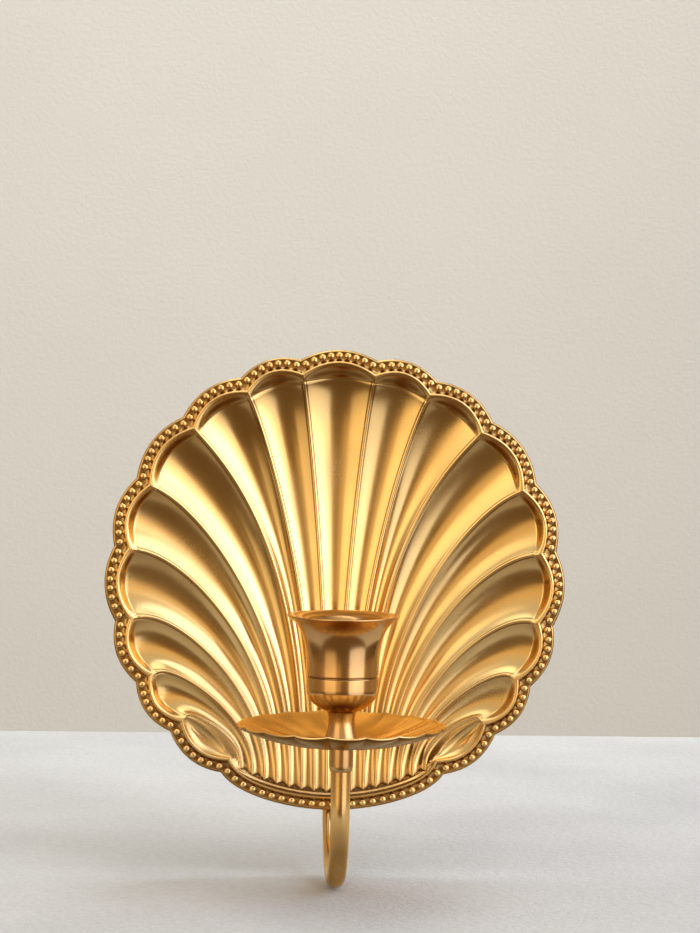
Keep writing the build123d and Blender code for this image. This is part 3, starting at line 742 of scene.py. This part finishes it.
def rim_profile(plate):
    """Inset, depth and darkening across the rim, from the ridge over the edge to the back: painted shade in the
    groove of the beads and at the edge, tarnish behind.
    """
    g, f = plate.groove_inset, plate.flange_width
    low, edge, sheet = plate.groove_depth, plate.groove_depth + plate.flange_drop, plate.sheet
    top = plate.crest_inset
    fall = top - g
    front = [
        (top, 0.0, 0.0), (top - 0.12 * fall, -0.09 * low, 0.0), (top - 0.25 * fall, -0.12 * low, 0.0),
        (top - 0.38 * fall, -0.07 * low, 0.0), (top - 0.5 * fall, 0.08 * low, 0.05),
        (top - 0.62 * fall, 0.3 * low, 0.15), (top - 0.78 * fall, 0.62 * low, 0.25),
        (g + 0.08 * fall, 0.88 * low, 0.45), (g - 0.1 * fall, low, 0.65), ((g + f) / 2, low, 0.8),
        (f + 0.15 * fall, low, 0.7), (f, 0.94 * low, 0.45),
        (0.8 * f, 0.94 * low, 0.3), (0.5 * f, low + 0.2 * plate.flange_drop, 0.3),
        (0.2 * f, low + 0.6 * plate.flange_drop, 0.05), (plate.edge_rounding, edge - 0.1 * sheet, 0.1),
    ]
    behind = [
        (plate.edge_rounding, edge + 0.9 * sheet, 0.3), (0.15 * f, edge + sheet, 0.4), (g, low + sheet, 0.5),
        (top - 0.5 * fall, sheet, 0.5), (top, sheet, 0.5),
    ]
    return front + behind


def bead(sheet, centre, radius, height):
    """A small dome that rises towards the viewer."""
    rows, dark = [], []
    for step in even(BEAD_RINGS):
        rise = pi / 2 * step
        reach, up = radius * max(cos(rise), 0.0) ** 0.7, height * sin(rise) ** 0.9
        turns = [2 * pi * j / BEAD_SEGMENTS for j in range(BEAD_SEGMENTS)]
        rows.append([centre + Vector((reach * cos(turn), -up, reach * sin(turn))) for turn in turns])
        # Painted shade round the foot of each bead.
        dark.append([0.5 * (1 - sin(rise)) ** 2] * BEAD_SEGMENTS)
    sheet.grid(rows, dark, closed=True)


def bead_row(start, end, radius, pitch):
    """Even shares of the way from start to end for beads about a pitch apart."""
    count = max(round((end - start) * radius / pitch), 1)
    return [(i + 0.5) / count for i in range(count)]


def bead_places(plate):
    """The middle of each bead, round the lobes and along the plain foot."""
    inset = (plate.groove_inset + plate.flange_width) / 2
    circle = plate.radius - (plate.lobe_notch + plate.groove_inset + plate.flange_width) / 2
    ends = [-a for a in reversed(plate.lobe_ends)] + list(plate.lobe_ends)
    places = []
    for start, end in zip(ends, ends[1:]):
        line = lobe_line(plate, start, end, inset, plate.groove_depth)
        places += [bezier(line, s) for s in bead_row(start, end, circle, plate.bead_pitch)]
    start, end = plate.lobe_ends[-1], 2 * pi - plate.lobe_ends[-1]
    for s in bead_row(start, end, circle, plate.foot_bead_pitch):
        places.append(foot_point(plate, start + s * (end - start), inset, plate.groove_depth))
    return places


def both_sides(sheet, plate, points, dark):
    """A front grid and the back of the sheet behind it."""
    sheet.grid(points, dark)
    sheet.grid([[p + Vector((0, plate.sheet, 0)) for p in row] for row in points], plate.back_film)


def rim_strip(sheet, plate, stations):
    """The rim along stations, each a function of inset and depth."""
    profile = rim_profile(plate)
    rows = [[station(inset, depth) for station in stations] for inset, depth, _ in profile]
    sheet.grid(rows, [[dark] * len(stations) for _, _, dark in profile])


def flute(sheet, plate, left, right):
    """One flute with its lobe of the rim and its stretch of the plain foot."""
    both_sides(sheet, plate, *flute_grids(plate, left, right))
    lobe = left["angle"], right["angle"]
    places = places_across(plate, flute_width(left, right, 1))
    rim_strip(sheet, plate, [lambda i, d, s=s: bezier(lobe_line(plate, *lobe, i, d), s) for s in places])
    places = places_across(plate, flute_width(left, right, 0))
    start, end = (atan2(p["foot"].x, p["foot"].z) % (2 * pi) for p in (left, right))
    turns = [start + (end - start) * s for s in places]
    feet = [left["foot"].lerp(right["foot"], s) for s in places]
    band = []
    for v in even(BAND_ROWS):
        row = [a.lerp(foot_point(plate, turn, plate.crest_inset, 0), v) for a, turn in zip(feet, turns)]
        for point, foot in zip(row, feet):
            point.y = foot.y * (1 - smooth(v))
        band.append(row)
    both_sides(sheet, plate, band, plate.band_film)
    rim_strip(sheet, plate, [lambda i, d, a=a: foot_point(plate, a, i, d) for a in turns])


def leaf(sheet, plate, foot, side):
    """The leaf-shaped hollow on one side with its lobe of the rim and its stretch of the plain foot."""
    for points, dark in leaf_grids(plate, side):
        both_sides(sheet, plate, points, dark)
    lobe = side * plate.lobe_ends[-2], side * plate.lobe_ends[-1]
    steps = even(LEAF_ROWS)
    rim_strip(sheet, plate, [lambda i, d, t=t: bezier(lobe_line(plate, *lobe, i, d), 1 - t) for t in steps])
    first, last = (side * atan2(foot.x, foot.z)) % (2 * pi), lobe[1] % (2 * pi)
    turns = [first + (last - first) * s for s in even(LEAF_COLUMNS)]
    rim_strip(sheet, plate, [lambda i, d, a=a: foot_point(plate, a, i, d) for a in turns])


class SCONCE_OT_shell_plate(bpy.types.Operator):
    """Builds the pressed shell plate with its flutes, rim and beads"""

    bl_idname = "sconce.shell_plate"
    bl_label = "Shell plate"

    def execute(self, context):
        plate = context.scene.sconce_plate
        count = len(plate.lobe_ends) - 1
        ridges = [ridge(plate, k) for k in range(-count, count + 1) if k]
        sheet = Sheet()
        for left, right in zip(ridges, ridges[1:]):
            flute(sheet, plate, left, right)
        for side in (1, -1):
            leaf(sheet, plate, ridges[-1]["foot"], side)
        for centre in bead_places(plate):
            bead(sheet, centre, plate.bead_radius, plate.bead_height)

        low = Vector(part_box("shell_backplate")[0])
        # The tops of the beads lie at the CAD plate's front.
        place = Vector((0, low.y + plate.bead_height - plate.groove_depth, low.z + plate.radius))
        piece = sheet.piece("pressed_shell_plate", place, finish("pressed brass"))
        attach(piece, "root")
        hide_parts("shell_backplate")
        return {"FINISHED"}


# ---------------------------------------------------------------- cup, ferrule, pan and arm
def cup_outline(cup):
    """The cup's outline from its foot up to the lip and down to the floor of the bore; the lip is at 0."""
    base = -cup.height
    score_top = -cup.score_below_lip + cup.score_width / 2
    score_base = score_top - cup.score_width
    ring = (cup.ring_radius, base + cup.ring_height)
    waist, neck_top = (cup.neck_radius, base + cup.neck_waist), (cup.neck_top_radius, base + cup.neck_height)
    body_base = (cup.body_radius, neck_top[1] + cup.bottom_height)
    outline = [(cup.stud_opening, base), (cup.ring_radius, base), ring]
    outline += curve_outline(*through(Vector(ring), Vector(waist), Vector(neck_top)), count=16)
    outline += curve_outline(
        neck_top, (cup.bottom_spread, neck_top[1] + cup.bottom_rise),
        (cup.body_radius, neck_top[1] + cup.bottom_turn), body_base,
    )
    score = cup.body_radius - cup.score_depth
    body_top = (cup.body_radius, score_top)
    outline += [(cup.body_radius, score_base), (score, score_base), (score, score_top), body_top]
    outline += curve_outline(
        body_top, (cup.body_radius + cup.flare_start, -cup.flare_height),
        (cup.body_radius + cup.flare_middle, -cup.flare_height / 2),
        (cup.body_radius + cup.flare_end, -cup.flare_height / 4), (cup.lip_radius, -cup.lip_edge), count=48,
    )
    lip_inside = (cup.lip_radius - cup.lip_land, 0.0)
    outline += [(cup.lip_radius, 0.0), lip_inside]
    outline += curve_outline(
        lip_inside, (cup.bore_radius + cup.funnel_waist, -cup.funnel_turn),
        (cup.bore_radius, -cup.funnel_depth / 2), (cup.bore_radius, -cup.funnel_depth),
    )
    floor = -cup.funnel_depth - cup.bore_length
    return outline + [(cup.bore_radius, floor), (CUP_CENTRE, floor)]


def cup_painted_shade(cup, outline):
    """Painted shade at each point of the cup's outline: inside the mouth and the bore, in the turned line and
    where the bottom meets the neck.
    """
    neck_top = cup.neck_height - cup.height
    dark, mouth = [], False
    for radius, height in outline:
        mouth = mouth or height > -NEGLIGIBLE
        if abs(height + cup.score_below_lip) < 0.6 * cup.score_width and radius < cup.body_radius:
            dark.append(cup.score_shade)
        elif mouth:
            dark.append(cup.mouth_shade + cup.bore_shade * min(1.0, -height / cup.funnel_depth))
        else:
            dark.append(cup.neck_shade * max(0.0, 1 - abs(height - neck_top) / cup.neck_shade_reach))
    return dark


class SCONCE_OT_candle_cup(bpy.types.Operator):
    """Turns the candle cup"""

    bl_idname = "sconce.candle_cup"
    bl_label = "Candle cup"

    def execute(self, context):
        cup = context.scene.sconce_cup
        outline = eased(cup_outline(cup), cup.soft_edge)
        sheet = Sheet()
        turned(sheet, outline, CUP_SEGMENTS, cup_painted_shade(cup, outline))
        lip = axis_point("candle_cup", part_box("candle_cup")[1][2])
        piece = sheet.piece("turned_candle_cup", lip, finish("turned brass"))
        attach(piece, "root")
        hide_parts("candle_cup")
        return {"FINISHED"}


class SCONCE_OT_ferrule(bpy.types.Operator):
    """Turns the ferrule between rod and pan"""

    bl_idname = "sconce.ferrule"
    bl_label = "Ferrule"

    def execute(self, context):
        cup, arm = context.scene.sconce_cup, context.scene.sconce_arm
        base = -cup.ferrule_length
        taper_top = (cup.ferrule_radius, base + cup.ferrule_taper)
        lip = (arm.rod_radius + cup.ferrule_lip, base)
        outline = [(cup.ferrule_opening, 0.0), (cup.ferrule_radius, 0.0), taper_top]
        outline += curve_outline(taper_top, (cup.ferrule_radius, base + 0.4 * cup.ferrule_taper), lip, count=10)
        outline += [(arm.rod_radius, base)]
        sheet = Sheet()
        turned(sheet, eased(outline, cup.ferrule_edge), FERRULE_SEGMENTS)
        top = axis_point("rod_ferrule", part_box("rod_ferrule")[1][2])
        piece = sheet.piece("turned_ferrule", top, finish("turned brass"))
        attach(piece, "root")
        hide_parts("rod_ferrule")
        return {"FINISHED"}


def pan_point(pan, t, petal, s, shift):
    """A point of the pan's upper side, moved up by shift: t from hub to edge, s across the petal."""
    reach = bezier([pan.hub_radius, pan.turn * pan.radius, pan.radius], t)
    height = bezier([0.0, 0.0, pan.depth], t)
    rib = 1 - abs(2 * s - 1) ** 2
    radius = reach - pan.notch * t * t * (1 - rib)
    return turned_point(radius, 2 * pi * (petal + s) / pan.petals, height - pan.sag * t * rib + shift)


class SCONCE_OT_drip_pan(bpy.types.Operator):
    """Forms the drip pan with its petals"""

    bl_idname = "sconce.drip_pan"
    bl_label = "Drip pan"

    def execute(self, context):
        pan = context.scene.sconce_pan
        stations = [(petal, s) for petal in range(pan.petals) for s in crowded(PETAL_COLUMNS)[:-1]]
        rounding = pan.sheet / 2
        rows, dark = [], []

        def ring(film_and_shade, point_at):
            """Adds one ring of the pan; point_at gives the point of a petal and a share of its width."""
            rows.append([point_at(petal, s) for petal, s in stations])
            dark.append([film_and_shade] * len(stations))

        def hub(radius, height):
            """A ring of the flat middle."""
            return lambda petal, s: turned_point(radius, 2 * pi * (petal + s) / pan.petals, height)

        def edge(bend):
            """The rounded edge, from the upper side at 0 to the underside at 1."""
            turn = pi * bend

            def point(petal, s):
                """One point of that ring."""
                place = pan_point(pan, 1.0, petal, s, -rounding + rounding * cos(turn))
                out = Vector((place.x, place.y, 0)).normalized()
                return place - out * rounding * (1 - sin(turn))

            return point

        # Painted shade: darker under the cup, towards the middle and on the underside.
        for part in (1 / 3, 2 / 3):
            ring(pan.hub_shade, hub(part * pan.hub_radius, 0.0))
        for t in even(PAN_ROWS)[:-1]:
            film_and_shade = pan.inside_film + pan.middle_shade * (1 - t) ** 2
            ring(film_and_shade, lambda petal, s, t=t: pan_point(pan, t, petal, s, 0.0))
        for bend in even(PAN_EDGE_ROWS):
            ring(pan.underside_shade * smooth(bend), edge(bend))
        for t in reversed(even(PAN_ROWS)[:-1]):
            ring(pan.underside_shade, lambda petal, s, t=t: pan_point(pan, t, petal, s, -pan.sheet))
        ring(pan.hub_underside_shade, hub(pan.hub_radius / 3, -pan.sheet))
        sheet = Sheet()
        sheet.grid(rows, dark, closed=True)
        floor = axis_point("drip_pan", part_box("drip_pan")[0][2] + pan.sheet)
        piece = sheet.piece("petalled_drip_pan", floor, finish("pan brass"))
        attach(piece, "root")
        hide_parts("drip_pan")
        return {"FINISHED"}


def rod_ring(y, z, turn, radius):
    """A ring square to the rod; turn is how far the rod has bent from straight down."""
    points = []
    for i in range(ROD_SEGMENTS):
        a = 2 * pi * i / ROD_SEGMENTS
        out = Vector((0, cos(turn), -sin(turn))) * cos(a) + Vector((sin(a), 0, 0))
        points.append(Vector((0, y, z)) + out * radius)
    return points


class SCONCE_OT_arm(bpy.types.Operator):
    """Bends the rod of the arm"""

    bl_idname = "sconce.arm"
    bl_label = "Arm"

    def execute(self, context):
        arm = context.scene.sconce_arm
        low, high = (Vector(corner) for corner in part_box("arm_rod"))
        bend = arm.reach / 2
        rear_y = high.y - arm.rod_radius
        front_y = rear_y - arm.reach
        bend_z = low.z + arm.rod_radius + bend
        shoulder = high.z - arm.spigot_length
        front_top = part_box("rod_ferrule")[0][2] + arm.in_ferrule
        rows = [
            rod_ring(rear_y, high.z, 0, ROD_CENTRE),
            rod_ring(rear_y, high.z, 0, arm.spigot_radius - arm.spigot_chamfer),
            rod_ring(rear_y, high.z - arm.spigot_chamfer, 0, arm.spigot_radius),
            rod_ring(rear_y, shoulder, 0, arm.spigot_radius),
            rod_ring(rear_y, shoulder, 0, arm.rod_radius - arm.soft_edge),
            rod_ring(rear_y, shoulder - arm.soft_edge, 0, arm.rod_radius),
        ]
        for t in even(8)[1:-1]:
            rows.append(rod_ring(rear_y, shoulder + (bend_z - shoulder) * t, 0, arm.rod_radius))
        for t in even(BEND_ROWS):
            turn = pi * t
            y, z = rear_y - bend + bend * cos(turn), bend_z - bend * sin(turn)
            rows.append(rod_ring(y, z, turn, arm.rod_radius))
        for t in even(10)[1:]:
            rows.append(rod_ring(front_y, bend_z + (front_top - bend_z) * t, pi, arm.rod_radius))
        sheet = Sheet()
        sheet.grid(rows, closed=True)
        piece = sheet.piece("bent_rod", Vector((0, 0, 0)), finish("rod brass"))
        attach(piece, "root")
        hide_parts("arm_rod")
        return {"FINISHED"}


class SCONCE_OT_fittings(bpy.types.Operator):
    """Finishes the strap, lug, washer, nut and stud behind and inside"""

    bl_idname = "sconce.fittings"
    bl_label = "Fittings"

    def execute(self, context):
        arm = context.scene.sconce_arm
        for name in ("hanger_strap", "arm_lug", "lug_washer", "lug_nut", "cup_stud"):
            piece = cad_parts[name]
            piece.data.materials.clear()
            piece.data.materials.append(finish("fitting brass"))
            bevel = piece.modifiers.new("soft edges", "BEVEL")
            bevel.width, bevel.segments, bevel.limit_method = arm.soft_edge, 2, "ANGLE"
            bevel.angle_limit = radians(50)
        return {"FINISHED"}


# ---------------------------------------------------------------- stage
def aim(place, target):
    """A lamp's matrix at place, facing target."""
    turn = (target - place).to_track_quat("-Z", "Y").to_matrix().to_4x4()
    return Matrix.Translation(place) @ turn


def soft_box(name, place, target, width, height, radiance, tint, opening):
    """A soft rectangular lamp that the camera doesn't see, of that radiance seen square on.

    opening is the full angle in degrees that its grid lets out.
    """
    lamp = bpy.data.lights.new(name, "AREA")
    lamp.shape, lamp.size, lamp.size_y = "RECTANGLE", width, height
    half = radians(opening) / 2
    let_out = 1 - half / tan(half)
    lamp.energy, lamp.color, lamp.spread = radiance * pi * width * height * let_out, tint, 2 * half
    made = bpy.data.objects.new(name, lamp)
    bpy.context.scene.collection.objects.link(made)
    made.matrix_world = aim(Vector(place), Vector(target))
    made.visible_camera = False


def block(name, low, high, material, rounding=0.0):
    """A plain box of the stage, with rounded edges if asked for."""
    build = bmesh.new()
    bmesh.ops.create_cube(build, size=1.0)
    for vertex in build.verts:
        vertex.co = Vector([a + (b - a) * (c + 0.5) for a, b, c in zip(low, high, vertex.co)])
    if rounding:
        bmesh.ops.bevel(build, geom=build.edges[:], offset=rounding, segments=6, affect="EDGES", profile=0.5)
    mesh = bpy.data.meshes.new(name)
    build.to_mesh(mesh)
    build.free()
    mesh.materials.append(material)
    made = bpy.data.objects.new(name, mesh)
    bpy.context.scene.collection.objects.link(made)


# Lamps that face the plate: name, place, width, height, radiance, tint and opening in degrees.
PLATE_LAMPS = (
    ("right window", (1.2, -0.72, 0.62), 1.7, 1.7, 2.3, (0.68, 0.76, 1.0), 120),
    ("white screen", (0.94, -1.04, -0.13), 1.28, 1.13, 1.45, (0.84, 0.88, 1.0), 120),
    ("left window", (-0.92, -1.1, 0.2), 1.0, 1.7, 0.95, (1.0, 0.84, 0.58), 120),
    ("sky", (-0.1, -0.55, 1.25), 1.2, 0.7, 1.2, (1.0, 0.98, 0.95), 120),
)
# The same without a place, for the lamps over the table and at the wall.
TABLE_LAMP = (1.1, 1.1, 0.62, (1.0, 0.985, 0.97), 80)
WALL_LAMP = (3.0, 0.4, 28.0, (0.955, 0.99, 1.0), 75)
# Colours of the room: below, level with the sconce, above, at both sides and in the shade before it.
ROOM_LOW, ROOM_LEVEL, ROOM_TOP = (0.60, 0.38, 0.16), (0.76, 0.54, 0.29), (0.62, 0.58, 0.52)
ROOM_SIDES, ROOM_SHADE, SHADE_DIRECTION = (0.12, 0.07, 0.035), (0.13, 0.07, 0.022), (0.05, -0.975, -0.21)


def room_world():
    """A plain room: warm below, paler above, darker at the sides and behind the viewer."""
    world = bpy.data.worlds.new("room")
    world.use_nodes = True
    tree = world.node_tree
    tree.nodes.clear()
    place = node(tree, "ShaderNodeTexCoord").outputs["Generated"]
    axes = node(tree, "ShaderNodeSeparateXYZ", {"Vector": place}).outputs
    below = blend_colours(tree, spread(tree, axes["Z"], -0.45, 0.10), ROOM_LOW, ROOM_LEVEL)
    tint = blend_colours(tree, spread(tree, axes["Z"], 0.10, 0.6), below, ROOM_TOP)
    aside = spread(tree, combine(tree, "ABSOLUTE", axes["X"]), 0.86, 0.98, 0.0, 0.6)
    tint = blend_colours(tree, aside, tint, ROOM_SIDES)
    nearness = node(tree, "ShaderNodeVectorMath", {0: place, 1: SHADE_DIRECTION}, operation="DOT_PRODUCT")
    shade = spread(tree, nearness.outputs["Value"], 0.962, 0.99, 0.0, 0.85)
    tint = blend_colours(tree, shade, tint, ROOM_SHADE)
    sky = node(tree, "ShaderNodeBackground", {"Color": tint, "Strength": 1.0})
    output = node(tree, "ShaderNodeOutputWorld")
    tree.links.new(sky.outputs["Background"], output.inputs["Surface"])
    return world


def stage_camera(stage):
    """The camera that sees the sconce as photographed."""
    camera = bpy.data.cameras.new("camera")
    camera.sensor_fit, camera.sensor_height, camera.lens = "VERTICAL", 36.0, stage.camera_lens
    camera.clip_start, camera.clip_end = 0.01, 20.0
    view = bpy.data.objects.new("camera", camera)
    turn = Matrix.Rotation(-stage.camera_turn, 4, "Z") @ Matrix.Rotation(pi / 2 - stage.camera_tilt, 4, "X")
    roll = Matrix.Rotation(stage.camera_roll, 4, "Z")
    view.matrix_world = Matrix.Translation(Vector(stage.camera_place)) @ turn @ roll
    return view


class SCONCE_OT_stage(bpy.types.Operator):
    """Sets up the wall, the table, the lamps and the camera"""

    bl_idname = "sconce.stage"
    bl_label = "Stage"

    def execute(self, context):
        scene, stage = context.scene, context.scene.sconce_stage
        low, high = (Vector(corner) for corner in CAD_BOUNDS)
        top, floor = low.z - TABLE_GAP, low.z - stage.table_height
        far, near, side = high.y + stage.table_behind, low.y - stage.table_before, stage.table_side
        wall_y = high.y + stage.wall_distance
        wall = plain_surface("wall paint", tuple(stage.wall_colour), 0.03, 240.0, 0.0005)
        cloth = plain_surface("table cloth", tuple(stage.table_colour), 0.2, 420.0, 0.0012)
        boards = plain_surface("floor boards", tuple(stage.floor_colour), 0.2, 40.0)
        room = stage.room_side
        block("table", (-side, near, floor), (side, far, top), cloth, TABLE_ROUNDING)
        block("wall", (-room, wall_y, floor), (room, wall_y + stage.slab, stage.room_height), wall)
        block("floor", (-room, -room, floor - stage.slab), (room, wall_y, floor), boards)

        target = middle_of("shell_backplate")
        for name, place, *rest in PLATE_LAMPS:
            soft_box(name, place, target, *rest)
        place, middle = Vector(stage.table_lamp), Vector((0, wall_y, 0))
        soft_box("table light", place, Vector((place.x, place.y, top)), *TABLE_LAMP)
        soft_box("wall light", middle + Vector(stage.wall_lamp), middle + Vector(stage.wall_aim), *WALL_LAMP)

        scene.world = room_world()
        scene.camera = stage_camera(stage)
        scene.collection.objects.link(scene.camera)
        scene.view_settings.view_transform = "Standard"
        return {"FINISHED"}


# ---------------------------------------------------------------- panel and registration
BUILDERS = (
    SCONCE_OT_shell_plate,
    SCONCE_OT_candle_cup,
    SCONCE_OT_ferrule,
    SCONCE_OT_drip_pan,
    SCONCE_OT_arm,
    SCONCE_OT_fittings,
    SCONCE_OT_stage,
)
SETTINGS = {
    "sconce_plate": PlateSettings,
    "sconce_cup": CupSettings,
    "sconce_pan": PanSettings,
    "sconce_arm": ArmSettings,
    "sconce_finish": FinishSettings,
    "sconce_stage": StageSettings,
}


class SCONCE_PT_panel(bpy.types.Panel):
    """Lists the sconce's pieces and their sizes"""

    bl_idname = "SCONCE_PT_panel"
    bl_label = "Sconce"
    bl_space_type = "VIEW_3D"
    bl_region_type = "UI"
    bl_category = "Sconce"

    def draw(self, context):
        for builder in BUILDERS:
            self.layout.operator(builder.bl_idname)
        for name in SETTINGS:
            box = self.layout.box()
            group = getattr(context.scene, name)
            for key in group.__annotations__:
                box.prop(group, key)


def register():
    """Adds the settings, the operators and the panel."""
    for kind in (*SETTINGS.values(), *BUILDERS, SCONCE_PT_panel):
        bpy.utils.register_class(kind)
    for name, kind in SETTINGS.items():
        setattr(bpy.types.Scene, name, PointerProperty(type=kind))


def unregister():
    """Takes them away again."""
    for name in SETTINGS:
        delattr(bpy.types.Scene, name)
    for kind in reversed((*SETTINGS.values(), *BUILDERS, SCONCE_PT_panel)):
        bpy.utils.unregister_class(kind)


def main():
    """Builds everything."""
    register()
    bpy.ops.sconce.shell_plate()
    bpy.ops.sconce.candle_cup()
    bpy.ops.sconce.ferrule()
    bpy.ops.sconce.drip_pan()
    bpy.ops.sconce.arm()
    bpy.ops.sconce.fittings()
    bpy.ops.sconce.stage()
    bpy.context.view_layer.update()


if __name__ == "__main__":
    main()
